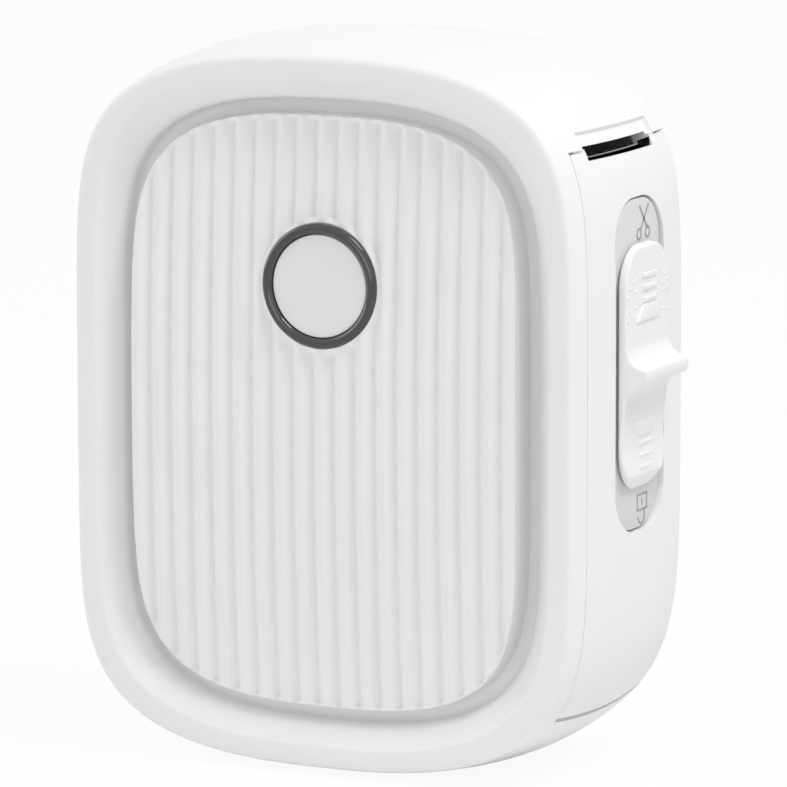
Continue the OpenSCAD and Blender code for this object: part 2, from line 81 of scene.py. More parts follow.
class PRINTER_PG_shell(bpy.types.PropertyGroup):
    """Outline and walls of the two moulded shells."""

    half_w: length("Half width", "Half width of the outline at the front rim", 36.8)
    half_h: length("Half height", "Half height of the outline at the front rim", 48.0)
    depth: length("Depth", "Front rim to back face", 34.0)
    flare_w: length("Flare in width", "Growth of the half width towards the back", 1.25)
    flare_h: length("Flare in height", "Growth of the half height towards the back", 0.9)
    crown: length("Crown", "Outward bow of the walls at mid-depth", 1.2)
    wall: length("Wall", "Thickness of the moulded wall", 2.1)
    base_flat: length("Base flat", "Depth of the flat on the underside", 0.55)


class PRINTER_PG_panel(bpy.types.PropertyGroup):
    """The ribbed front panel."""

    half_w: length("Half width", "Half width of the ribbed panel", 28.5)
    half_h: length("Half height", "Half height of the ribbed panel", 40.0)
    rib_pitch: length("Rib pitch", "Distance between two ribs", 3.065)
    crest: length("Crest depth", "Depth of the rib crests at the panel's middle", 0.25)
    rib_rise: length("Rib rise", "Height of a rib over its valley", 0.95)
    edge_round: length("Edge round", "Radius of the panel's edge", 0.3)


class PRINTER_PG_slider(bpy.types.PropertyGroup):
    """The thumb slider on the side."""

    width: length("Width", "Width of the pad across the depth", 14.0)
    face: length("Pad face", "Pad face from the centre plane", 39.5)
    crest: length("Fin crest", "Crest of the fin from the centre plane", 42.48)
    grip_rise: length("Grip rise", "Height of the moulded grip marks", 0.28)


class PRINTER_PG_finish(bpy.types.PropertyGroup):
    """Colours of the visible finishes, as sRGB hex."""

    housing: shade("Housing", "White moulded ABS of the shells", "#F4F4F3")
    panel: shade("Panel", "White moulded ABS of the ribbed panel and the thumb slider", "#F4F4F3")
    # The recess grey is darker than the housing white: painted shade for the recess behind the slider.
    recess: shade("Recess", "White moulded ABS behind the slider", "#DEDEDE")
    cap: shade("Cap", "Light grey of the button cap", "#EEEEED")
    ring: shade("Ring", "Dark gloss of the button ring", "#38383A")
    mark: shade("Marks", "Grey of the pictograms in the recess", "#A6A6A8")


class PRINTER_PG_stage(bpy.types.PropertyGroup):
    """Studio lamps and backdrop."""

    key: power("Key", "High softbox over the right side", 3.9)
    left: power("Left fill", "Softbox low on the left", 1.3)
    front: power("Front fill", "Low softbox in front", 0.6)
    ceiling: power("Ceiling", "Wide softbox overhead", 0.1)
    right: power("Right fill", "Softbox at the front right", 0.15)
    back: power("Back fill", "Softbox behind on the right", 0.3)
    sky: bpy.props.FloatProperty(name="Sky", description="Strength of the room light", default=0.43, min=0.0)


# ---- places on the body, in millimetres

# Squareness of the outline across and up, and of the ribbed panel across.
SIDE_POWER, TOP_POWER, PANEL_POWER = 2.6, 6.0, 2.8
# Keeps the outer skin just inside the solids' outline.
SKIN_INSET = 0.02

# The front parting line shows as a hairline between these two depths.
SEAM_FRONT, SEAM_BACK = 3.97, 4.08
# Depth whose outline the side panel's lower rows keep step with.
SIDE_FRONT = 4.2
# Heights that the seams, the slot and the pocket over it run along on the right-hand side.
SEAM_LOW, SIDE_LOW, SIDE_TOP, SLOT_LOW, SLOT_TOP = -39.45, -38.9, 36.4, 35.2, 37.0
SEAM_TOP = SIDE_TOP + 0.35
POCKET_TOP, POCKET_STEP = 38.9, 0.07
POCKET_FRONT, POCKET_BACK, POCKET_SUNK = 7.5, 28.2, 0.45
SLOT_FRONT, SLOT_BACK = 7.8, 26.8
SIDE_ROWS = 34
SIDE_HEIGHTS = (
    [SEAM_LOW, SIDE_LOW]
    + [SIDE_LOW + (SLOT_LOW - SIDE_LOW) * k / SIDE_ROWS for k in range(1, SIDE_ROWS + 1)]
    + [SIDE_TOP, SEAM_TOP, SLOT_TOP, POCKET_TOP, POCKET_TOP + POCKET_STEP]
)
# Spots on the rest of the outline, and on the whole of it.
AROUND = 150
RING = len(SIDE_HEIGHTS) + AROUND - 1

# (inset, depth) from the channel beside the ribbed panel, up the moat's slope and over the rim.
RIM_STATIONS = [
    (11.5, 5.5), (9.0, 5.5), (7.6, 5.5), (7.1, 5.45), (6.85, 5.25), (6.7, 4.9), (6.6, 4.3), (6.5, 3.7),
    (6.35, 3.3), (6.1, 2.95), (5.7, 2.6), (5.2, 2.2), (4.7, 1.75), (4.2, 1.25), (3.7, 0.75), (3.4, 0.42),
    (3.15, 0.16), (2.95, 0.03), (2.7, 0.0), (1.5, 0.0), (0.8, 0.0), (0.58, 0.03), (0.38, 0.1), (0.22, 0.21),
    (0.1, 0.36), (0.03, 0.55), (0.0, 0.8), (0.0, 1.6), (0.0, 2.8),
]
# Stations further in than this belong to the rim and the moat.
RIM_INSET = 2.0
# Depths of the rows down the walls, with pairs at the seam and the pocket's ends, then the round back edge.
WALL_DEPTHS = [
    SEAM_FRONT, SEAM_BACK, 5.6, 7.43, POCKET_FRONT, SLOT_FRONT, 9.4, 11.2, 13.0, 15.0, 17.0, 19.0, 21.0, 23.0,
    25.0, SLOT_BACK, POCKET_BACK, 28.27, 29.8, 31.3, 32.4,
]
BACK_STATIONS = [(0.0, 33.0), (0.1, 33.35), (0.3, 33.65), (0.6, 33.9), (0.9, 34.0)]
DOOR_STATIONS = [
    (5.0, 32.0), (2.55, 32.0), (2.55, 33.3), (2.62, 33.6), (2.8, 33.8), (3.1, 33.88), (4.0, 33.9),
    (9.0, 33.9),
]

BUTTON_Z = 17.4
RIBS = 19
# Heights of the thumb slider and of its recess, their middle across the depth, and the faces behind them.
SLIDER_LOW, SLIDER_HIGH, SLIDER_Y = -9.7, 23.3, 18.8
RECESS_LOW, RECESS_HIGH = -15.6, 29.4
RECESS_FLOOR, SLIDER_BACK = 37.9, 38.3
# Middle and half height of the hinge barrels' slots, and the hinge's axis.
HINGE_Z, HINGE_HALF = 16.25, 2.3
HINGE_X, HINGE_Y = -34.4, 34.0
# Far past the body on every side, for tools that cut right through.
OUTSIDE = 60


# ---- shape helpers


def clamp(value):
    """Value held between 0 and 1."""
    return min(max(value, 0.0), 1.0)


def circle_spots(count, radius):
    """Spots of a circle about the origin."""
    angles = [2 * math.pi * k / count for k in range(count)]
    return [(radius * math.cos(a), radius * math.sin(a)) for a in angles]


def reach(angle, side_power, top_power):
    """Distance from the centre to the rounded outline, at an angle, with both half sizes at one."""
    # A circle would give 1 and the corner of a square 1.41.
    low, high = 0.9, 1.45
    c, s = abs(math.cos(angle)), abs(math.sin(angle))
    for _ in range(40):
        mid = (low + high) / 2
        if (mid * c) ** side_power + (mid * s) ** top_power > 1:
            high = mid
        else:
            low = mid
    return (low + high) / 2


def half_sizes(shell, y):
    """Half width and half height of the body at a depth."""
    t = clamp(y / shell.depth)
    bow = shell.crown * 4 * t * (1 - t)
    return shell.half_w + shell.flare_w * t + bow, shell.half_h + shell.flare_h * t + bow


def corner_power(shell, z, y):
    """Squareness of a corner: the lower ones grow rounder towards the back."""
    return TOP_POWER - (clamp(y / shell.depth) if z < 0 else 0.0)


def side_place(shell, i, y):
    """Place i of SIDE_HEIGHTS, with both half sizes at one.

    Below mid-height the rows keep step with the bowed outline, as the seam does with the underside.
    """
    z = SIDE_HEIGHTS[i] / half_sizes(shell, SIDE_FRONT if SIDE_HEIGHTS[i] < 0 else y)[1]
    return (1 - abs(z) ** corner_power(shell, z, y)) ** (1 / SIDE_POWER), z


def ring_spot(shell, i, inset, y):
    """Place i of RING on the body outline at a depth, moved in by inset."""
    w, h = half_sizes(shell, y)
    if i < len(SIDE_HEIGHTS):
        x, z = side_place(shell, i, y)
    else:
        ends = []
        for end in (len(SIDE_HEIGHTS) - 1, 0):
            x, z = side_place(shell, end, y)
            ends.append(math.atan2(z, x))
        k = (i - len(SIDE_HEIGHTS) + 1) / AROUND
        angle = ends[0] + (ends[1] + 2 * math.pi - ends[0]) * k
        r = reach(angle, SIDE_POWER, corner_power(shell, math.sin(angle), y))
        x, z = r * math.cos(angle), r * math.sin(angle)
    return Vector((x * (w - inset - SKIN_INSET), y, z * (h - inset - SKIN_INSET)))


def verts_of(geom):
    """The vertices among what an operator returns."""
    return [g for g in geom if isinstance(g, bmesh.types.BMVert)]


def loft(bm, shell, stations):
    """Extrudes a circle through (inset, depth) stations and puts each ring on the body outline."""
    ring = list(bmesh.ops.create_circle(bm, segments=RING, radius=1.0)["verts"])
    rings = []
    for n, (inset, y) in enumerate(stations):
        if n:
            edges = [bm.edges.get((ring[i], ring[(i + 1) % RING])) for i in range(RING)]
            fresh = set(verts_of(bmesh.ops.extrude_edge_only(bm, edges=edges)["geom"]))
            ring = [next(e.other_vert(v) for e in v.link_edges if e.other_vert(v) in fresh) for v in ring]
        for i, v in enumerate(ring):
            v.co = ring_spot(shell, i, inset, y)
        rings.append(ring)
    return rings


def side_faces(bm, rings, low, high):
    """Faces on the right-hand side whose middles lie between two heights, each with its row's number."""
    for r in range(len(rings) - 1):
        for i in range(len(SIDE_HEIGHTS) - 1):
            if low < (SIDE_HEIGHTS[i] + SIDE_HEIGHTS[i + 1]) / 2 < high:
                face = bm.faces.get((rings[r][i], rings[r][i + 1], rings[r + 1][i + 1], rings[r + 1][i]))
                if face:
                    yield r, face


def seat(bm):
    """Moves millimetres about the rim plane into the row frame in metres."""
    move = Matrix.Translation((0, -MID_DEPTH * MM, MID_HEIGHT * MM)) @ Matrix.Scale(MM, 4)
    bmesh.ops.transform(bm, matrix=move, verts=bm.verts)


def smooth_mesh(mesh, smooth_deg):
    """Smooth shading with edges kept sharp past an angle."""
    mesh.shade_smooth()
    mesh.set_sharp_from_angle(angle=math.radians(smooth_deg))


def piece(bm, name, material, body, smooth_deg, outward=True):
    """Makes an object of a finished bmesh, riding on a body."""
    bmesh.ops.remove_doubles(bm, verts=bm.verts, dist=1e-6)
    if outward:
        bmesh.ops.recalc_face_normals(bm, faces=bm.faces)
    mesh = bpy.data.meshes.new(name)
    bm.to_mesh(mesh)
    bm.free()
    smooth_mesh(mesh, smooth_deg)
    obj = bpy.data.objects.new(name, mesh)
    bpy.context.scene.collection.objects.link(obj)
    mesh.materials.append(material)
    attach(obj, body)
    return obj


def apply_modifiers(obj, smooth_deg):
    """Bakes the object's modifiers into its mesh."""
    graph = bpy.context.evaluated_depsgraph_get()
    baked = bpy.data.meshes.new_from_object(obj.evaluated_get(graph))
    obj.modifiers.clear()
    old = obj.data
    obj.data = baked
    baked.name = obj.name
    bpy.data.meshes.remove(old)
    smooth_mesh(baked, smooth_deg)


def cut(obj, bm, operation, smooth_deg):
    """Cuts the object with a closed bmesh in millimetres and throws the tool away."""
    seat(bm)
    bmesh.ops.recalc_face_normals(bm, faces=bm.faces)
    mesh = bpy.data.meshes.new("cutter")
    bm.to_mesh(mesh)
    bm.free()
    tool = bpy.data.objects.new("cutter", mesh)
    bpy.context.scene.collection.objects.link(tool)
    mod = obj.modifiers.new("cut", "BOOLEAN")
    mod.object = tool
    mod.operation = operation
    mod.solver = "EXACT"
    bpy.context.view_layer.update()
    apply_modifiers(obj, smooth_deg)
    bpy.data.objects.remove(tool)
    bpy.data.meshes.remove(mesh)


def thicken(obj, wall_mm, smooth_deg):
    """Gives an open skin a wall on its inside."""
    thick = obj.modifiers.new("wall", "SOLIDIFY")
    thick.thickness = wall_mm * MM
    thick.offset = -1.0
    thick.use_even_offset = True
    apply_modifiers(obj, smooth_deg)


def join(bm, tool):
    """Adds a finished tool to a bmesh and frees it."""
    mesh = bpy.data.meshes.new("tool_part")
    tool.to_mesh(mesh)
    tool.free()
    bm.from_mesh(mesh)
    bpy.data.meshes.remove(mesh)


def bevel(bm, edges, width):
    """Rounds edges of a bmesh by a small width."""
    bmesh.ops.bevel(bm, geom=edges, offset=width, offset_type="OFFSET", segments=2, profile=0.5,
                    affect="EDGES", material=-1)


def round_edges(obj, width_mm):
    """Small moulding radius on every crisp edge."""
    mod = obj.modifiers.new("edge_round", "BEVEL")
    mod.width = width_mm * MM
    mod.segments = 2
    mod.limit_method = "ANGLE"
    mod.angle_limit = math.radians(50)
    mod.use_clamp_overlap = True
    mod.harden_normals = True


def block(low, high):
    """Closed box between two corners."""
    bm = bmesh.new()
    bmesh.ops.create_cube(bm, size=1.0)
    size = Vector(high) - Vector(low)
    bmesh.ops.scale(bm, vec=size, verts=bm.verts)
    bmesh.ops.translate(bm, vec=(Vector(high) + Vector(low)) / 2, verts=bm.verts)
    return bm


def prism(spots, low, high, axis):
    """Closed prism: a ring of 2D spots run between two heights along X or Y."""
    bm = bmesh.new()
    ring = bmesh.ops.create_circle(bm, segments=len(spots), radius=1.0)["verts"]
    for v, (a, b) in zip(ring, spots):
        v.co = Vector((low, a, b)) if axis == "X" else Vector((a, low, b))
    top = bmesh.ops.extrude_face_region(bm, geom=[bm.faces.new(ring)])["geom"]
    shift = Vector((high - low, 0, 0)) if axis == "X" else Vector((0, high - low, 0))
    bmesh.ops.translate(bm, vec=shift, verts=verts_of(top))
    return bm


def rounded_spots(width, low, high, radius, centre):
    """Outline of a rounded rectangle, width across and from low to high."""
    spots = []
    steps = 16
    half = width / 2
    radius = min(radius, half - 0.01)
    corners = [(half, high, 0), (-half, high, 1), (-half, low, 2), (half, low, 3)]
    for cx, cz, quarter in corners:
        ox = centre + cx - math.copysign(radius, cx)
        oz = cz - radius if cz == high else cz + radius
        for k in range(steps + 1):
            a = math.pi / 2 * (quarter + k / steps)
            spots.append((ox + radius * math.cos(a), oz + radius * math.sin(a)))
    return spots


# ---- finishes


def linear(hex_code):
    """sRGB hex to linear colour."""
    parts = [int(hex_code.lstrip("#")[i : i + 2], 16) / 255 for i in (0, 2, 4)]
    return tuple(c / 12.92 if c <= 0.04045 else ((c + 0.055) / 1.055) ** 2.4 for c in parts) + (1.0,)


def add_node(tree, kind, settings=None, **links):
    """Adds a node, sets attributes and socket values, and links named inputs."""
    node = tree.nodes.new(kind)
    for key, value in (settings or {}).items():
        if key in node.inputs:
            node.inputs[key].default_value = value
        else:
            setattr(node, key, value)
    for key, source in links.items():
        tree.links.new(source, node.inputs[key.replace("_", " ")])
    return node


def mix_colours(tree, first, second, factor):
    """Mixes two colours, or a socket and a colour, by a factor socket."""
    mix = add_node(tree, "ShaderNodeMix", {"data_type": "RGBA"})
    if isinstance(first, tuple):
        mix.inputs[6].default_value = first
    else:
        tree.links.new(first, mix.inputs[6])
    mix.inputs[7].default_value = second
    tree.links.new(factor, mix.inputs[0])
    return mix.outputs[2]


# Width of the cloudy tone changes in mm, and the pointiness over which an edge grows worn.
CLOUD_MM = 9
WEAR_FROM, WEAR_TO = 0.52, 0.62
ROUGH_SPREAD = 0.05


def finish_material(name, colour, roughness, grain_mm, bump_mm, metallic=0.0, variation=0.012, wear=0.03,
                    stretch=(1.0, 1.0, 1.0), coat=0.0):
    """A moulded, ground or coated surface: cloudy tone, grain in roughness and bump, lighter worn edges.

    A stretch under 1 draws the grain out along that axis, as rolling and grinding do.
    """
    mat = bpy.data.materials.new(name)
    mat.use_nodes = True
    tree = mat.node_tree
    shader = tree.nodes["Principled BSDF"]
    spot = add_node(tree, "ShaderNodeTexCoord")
    place = add_node(tree, "ShaderNodeMapping", {"Scale": stretch}, Vector=spot.outputs["Object"])
    clouds = add_node(tree, "ShaderNodeTexNoise", {"Scale": 1 / (CLOUD_MM * MM), "Detail": 2.0},
                      Vector=place.outputs[0])
    grain = add_node(tree, "ShaderNodeTexNoise", {"Scale": 1 / (grain_mm * MM), "Detail": 3.0},
                     Vector=place.outputs[0])
    base = linear(colour)
    dark = tuple(c * (1 - variation * 2) for c in base[:3]) + (1.0,)
    light = tuple(min(1.0, c * (1 + variation)) for c in base[:3]) + (1.0,)
    bare = tuple(min(1.0, c * 1.12 + 0.02) for c in base[:3]) + (1.0,)
    tone = mix_colours(tree, dark, light, clouds.outputs["Fac"])
    geometry = add_node(tree, "ShaderNodeNewGeometry")
    edge = add_node(tree, "ShaderNodeMapRange",
                    {"From Min": WEAR_FROM, "From Max": WEAR_TO, "To Min": 0.0, "To Max": wear},
                    Value=geometry.outputs["Pointiness"])
    tree.links.new(mix_colours(tree, tone, bare, edge.outputs[0]), shader.inputs["Base Color"])
    low, high = max(0.02, roughness - ROUGH_SPREAD), min(1.0, roughness + ROUGH_SPREAD)
    rough = add_node(tree, "ShaderNodeMapRange", {"To Min": low, "To Max": high}, Value=grain.outputs["Fac"])
    tree.links.new(rough.outputs[0], shader.inputs["Roughness"])
    bump = add_node(tree, "ShaderNodeBump", {"Strength": 0.6, "Distance": bump_mm * MM},
                    Height=grain.outputs["Fac"])
    tree.links.new(bump.outputs[0], shader.inputs["Normal"])
    shader.inputs["Metallic"].default_value = metallic
    if coat:
        shader.inputs["Coat Weight"].default_value = coat
        shader.inputs["Coat Roughness"].default_value = 0.08
    return mat


# Each finish: colour, roughness, grain size mm, bump height mm, then what differs from plain plastic.
INNER_FINISHES = {
    # Mid grey and waxy, with no bright glint.
    "moulded_grey_acetal": ("#75777A", 0.45, 0.4, 0.01, {}),
    # Nearly black, with a soft grey sheen.
    "moulded_black_abs": ("#161618", 0.5, 0.3, 0.012, {}),
    # Blue-black steel with the faint streaks of grinding.
    "black_oxide_tool_steel": ("#2E2F33", 0.38, 0.25, 0.006, {"metallic": 0.85, "stretch": (1.0, 0.08, 1.0)}),
    # Smooth bright wire and pins with sharp highlights.
    "drawn_spring_steel": ("#A3A4A6", 0.3, 0.15, 0.004, {"metallic": 1.0}),
    # Bluish grey sheet, slightly cloudy where the zinc has dulled.
    "zinc_plated_sheet": ("#A9ACAE", 0.36, 0.8, 0.01, {"metallic": 1.0, "variation": 0.05}),
    # Deep green under a clear, glossy skin.
    "solder_mask_board": ("#1E5A34", 0.32, 0.5, 0.01, {"coat": 0.4}),
    # Dry black with a fine sandy grain.
    "moulded_chip_epoxy": ("#1A1B1D", 0.6, 0.12, 0.008, {}),
    # Amber film with a slick surface.
    "polyimide_flex": ("#A86A22", 0.28, 0.6, 0.006, {"coat": 0.5}),
    # Warm pale metal, nearly a mirror.
    "nickel_plated_can": ("#A8A7A3", 0.26, 0.5, 0.005, {"metallic": 1.0}),
    # Yellow metal with fine turning marks.
    "machined_brass": ("#C79A45", 0.28, 0.2, 0.004, {"metallic": 1.0, "stretch": (1.0, 0.1, 1.0)}),
    # Creamy gear plastic, soft and even.
    "moulded_ivory_acetal": ("#E4DDC4", 0.42, 0.35, 0.008, {}),
    # Dull black that soaks up light, ground across.
    "ground_platen_rubber": ("#171718", 0.72, 0.15, 0.02, {"stretch": (1.0, 0.2, 1.0)}),
    # Pale grey metal with lines along the fins.
    "extruded_aluminium": ("#BCBEC0", 0.34, 0.4, 0.008, {"metallic": 1.0, "stretch": (1.0, 0.1, 1.0)}),
    # Brown ceramic under a wet-looking glaze.
    "glazed_head_ceramic": ("#6B4A38", 0.2, 0.3, 0.004, {"coat": 0.6}),
    # Plain grey, duller than the outer shell.
    "moulded_cassette_grey": ("#8C8E91", 0.46, 0.4, 0.012, {}),
    # Off-white and matt, with a trace of the paper's coating.
    "thermal_label_paper": ("#F1F1EE", 0.62, 0.12, 0.01, {}),
    # Tan board with the streaks of its winding.
    "wound_core_board": ("#B09068", 0.8, 0.3, 0.03, {"variation": 0.06, "stretch": (1.0, 0.3, 1.0)}),
    # Slate blue plastic sleeve, tight and shiny.
    "printed_cell_sleeve": ("#5B6570", 0.3, 0.6, 0.004, {"coat": 0.6}),
    # Silvery plates, a little brighter than the can.
    "nickel_contact_plate": ("#B8B8B4", 0.3, 0.4, 0.006, {"metallic": 1.0}),
}

NODE_FINISHES = {
    "slider_carriage": "moulded_grey_acetal", "blade_holder": "moulded_black_abs",
    "cutter_blade": "black_oxide_tool_steel", "cutter_anvil": "black_oxide_tool_steel",
    "spring_upper": "drawn_spring_steel", "spring_lower": "drawn_spring_steel",
    "door_hinge_pins": "drawn_spring_steel", "chassis": "zinc_plated_sheet",
    "main_board": "solder_mask_board", "button_board": "solder_mask_board",
    "board_chips": "moulded_chip_epoxy", "button_switch": "moulded_chip_epoxy",
    "flat_cable": "polyimide_flex", "motor_can": "nickel_plated_can", "motor_shaft": "drawn_spring_steel",
    "motor_pinion": "machined_brass", "first_gear": "moulded_ivory_acetal",
    "second_gear": "moulded_ivory_acetal", "platen_gear": "moulded_ivory_acetal",
    "gear_axles": "drawn_spring_steel", "platen_shaft": "drawn_spring_steel",
    "platen_roller": "ground_platen_rubber", "platen_bushes": "moulded_ivory_acetal",
    "head_bracket": "zinc_plated_sheet", "head_pivot_pin": "drawn_spring_steel",
    "heat_sink": "extruded_aluminium", "print_head": "glazed_head_ceramic",
    "cassette_case": "moulded_cassette_grey", "label_roll": "thermal_label_paper",
    "roll_core": "wound_core_board", "label_strip": "thermal_label_paper",
    "cell_tray": "moulded_black_abs", "cells": "printed_cell_sleeve",
    "cell_contacts": "nickel_contact_plate", "case_screws": "zinc_plated_sheet",
}


def shared_finish(name, *settings, **extra):
    """A finish that several operators use: made once, then found by its name."""
    return bpy.data.materials.get(name) or finish_material(name, *settings, **extra)


def shell_white(context):
    """Satin ABS moulded against a spark-eroded tool: soft sheen, very fine grain."""
    colour = context.scene.printer_finish.housing
    return shared_finish("satin_moulded_white_abs", colour, 0.46, 0.35, 0.012)


def panel_white(context):
    """Satin ABS with a fine even grain that softens the ribs."""
    colour = context.scene.printer_finish.panel
    return shared_finish("grained_moulded_white_abs", colour, 0.5, 0.3, 0.014, wear=0.0)


def recess_painted_shade_grey(context):
    """The same ABS behind the slider, a shade duller and rougher than the shell: its darker grey is painted
    shade for the recess.
    """
    colour = context.scene.printer_finish.recess
    return shared_finish("rubbed_moulded_white_abs", colour, 0.55, 0.3, 0.012, wear=0.0)


WHITE = (1.0, 1.0, 1.0, 1.0)
# Share of the floor that the camera sees as plain white, so that only a faint shadow is left.
GLOW_SHARE = 0.93


def floor_finish():
    """White sweep paper: nearly shadowless to the eye, with the printer's soft contact shadow kept."""
    mat = bpy.data.materials.new("white_sweep_paper")
    mat.use_nodes = True
    tree = mat.node_tree
    paper = tree.nodes["Principled BSDF"]
    paper.inputs["Roughness"].default_value = 0.9
    spot = add_node(tree, "ShaderNodeTexCoord")
    fibre = add_node(tree, "ShaderNodeTexNoise", {"Scale": 220.0, "Detail": 2.0},
                     Vector=spot.outputs["Object"])
    tone = add_node(tree, "ShaderNodeMapRange", {"To Min": 0.90, "To Max": 0.93}, Value=fibre.outputs["Fac"])
    tree.links.new(tone.outputs[0], paper.inputs["Base Color"])
    glow = add_node(tree, "ShaderNodeEmission", {"Color": WHITE, "Strength": 1.0})
    path = add_node(tree, "ShaderNodeLightPath")
    share = add_node(tree, "ShaderNodeMath", {"operation": "MULTIPLY"})
    tree.links.new(path.outputs["Is Camera Ray"], share.inputs[0])
    share.inputs[1].default_value = GLOW_SHARE
    mix = add_node(tree, "ShaderNodeMixShader")
    for socket, source in enumerate((share, paper, glow)):
        tree.links.new(source.outputs[0], mix.inputs[socket])
    tree.links.new(mix.outputs[0], tree.nodes["Material Output"].inputs["Surface"])
    return mat


# ---- studio

# The camera: turn, tilt and roll in degrees, place in metres from the front rim's middle, lens in mm.
CAMERA_TURN, CAMERA_TILT, CAMERA_ROLL = 26.078, 9.615, -0.126
CAMERA_PLACE = (0.36741, -0.72798, 0.14115)
CAMERA_LENS, CAMERA_SENSOR = 284.49, 36.0
# Lamps: name, the setting that holds its power, place and size in metres.
LAMPS = (
    ("key", "key", (0.42, -0.08, 0.80), 0.30),
    ("left_fill", "left", (-0.70, -0.20, 0.30), 0.50),
    ("front_fill", "front", (0.0, -0.85, 0.12), 0.30),
    ("ceiling", "ceiling", (0.0, 0.0, 1.0), 1.40),
    ("right_fill", "right", (0.55, -0.55, 0.30), 0.35),
    ("back_fill", "back", (0.45, 0.45, 0.55), 0.50),
)


class PRINTER_OT_stage(bpy.types.Operator):
    """Camera, pale floor, softboxes and white surroundings"""

    bl_idname = "printer.stage"
    bl_label = "Studio and Camera"

    def execute(self, context):
        setup = context.scene.printer_stage
        self.camera(context)

        bm = bmesh.new()
        bmesh.ops.create_grid(bm, x_segments=8, y_segments=8, size=3.0)
        mesh = bpy.data.meshes.new("studio_floor")
        bm.to_mesh(mesh)
        bm.free()
        floor = bpy.data.objects.new("studio_floor", mesh)
        floor.location = (0, 0, -0.05 * MM)
        context.scene.collection.objects.link(floor)
        mesh.materials.append(floor_finish())

        for name, setting, place, size in LAMPS:
            self.softbox(context, name, place, size, getattr(setup, setting))
        self.room(context, setup.sky)
        context.scene.view_settings.view_transform = "Standard"
        return {"FINISHED"}

    @staticmethod
    def camera(context):
        """A long lens from the front right, a little above the printer."""
        camera = bpy.data.cameras.new("camera")
        camera.lens = CAMERA_LENS
        camera.sensor_width = CAMERA_SENSOR
        camera.clip_end = 20.0
        eye = bpy.data.objects.new("camera", camera)
        context.scene.collection.objects.link(eye)
        a, e, roll = math.radians(CAMERA_TURN), math.radians(CAMERA_TILT), math.radians(CAMERA_ROLL)
        right = Vector((math.cos(a), math.sin(a), 0))
        back = Vector((math.sin(a) * math.cos(e), -math.cos(a) * math.cos(e), math.sin(e)))
        up = back.cross(right)
        turned_right = right * math.cos(roll) + up * math.sin(roll)
        turned_up = up * math.cos(roll) - right * math.sin(roll)
        place = Vector(CAMERA_PLACE) + Vector((0, -MID_DEPTH * MM, MID_HEIGHT * MM))
        turn = Matrix((turned_right, turned_up, back)).transposed().to_4x4()
        eye.matrix_world = Matrix.Translation(place) @ turn
        context.scene.camera = eye

    @staticmethod
    def softbox(context, name, place, size, power):
        """A square area lamp aimed at the middle of the printer."""
        lamp = bpy.data.lights.new(name, "AREA")
        lamp.shape = "SQUARE"
        lamp.size = size
        lamp.energy = power
        holder = bpy.data.objects.new(name, lamp)
        holder.location = place
        aim = Vector((0, 0, MID_HEIGHT * MM)) - Vector(place)
        holder.rotation_euler = aim.to_track_quat("-Z", "Y").to_euler()
        context.scene.collection.objects.link(holder)

    @staticmethod
    def room(context, strength):
        """Soft light from all round, seen as plain white by the camera and in reflections."""
        world = bpy.data.worlds.new("white_room")
        context.scene.world = world
        world.use_nodes = True
        tree = world.node_tree
        room = tree.nodes["Background"]
        room.inputs["Color"].default_value = WHITE
        room.inputs["Strength"].default_value = strength
        bright = add_node(tree, "ShaderNodeBackground", {"Color": WHITE, "Strength": 1.0})
        path = add_node(tree, "ShaderNodeLightPath")
        seen = path.outputs["Is Camera Ray"]
        for ray in ("Is Glossy Ray", "Is Transmission Ray"):
            either = add_node(tree, "ShaderNodeMath", {"operation": "MAXIMUM"})
            tree.links.new(seen, either.inputs[0])
            tree.links.new(path.outputs[ray], either.inputs[1])
            seen = either.outputs[0]
        mix = add_node(tree, "ShaderNodeMixShader")
        for socket, source in enumerate((seen, room.outputs[0], bright.outputs[0])):
            tree.links.new(source, mix.inputs[socket])
        tree.links.new(mix.outputs[0], tree.nodes["World Output"].inputs["Surface"])


# ---- outer pieces


def label_slot():
    """Tool that opens the label slot through both shells."""
    return block((24, SLOT_FRONT, SLOT_LOW), (OUTSIDE, SLOT_BACK, SLOT_TOP))


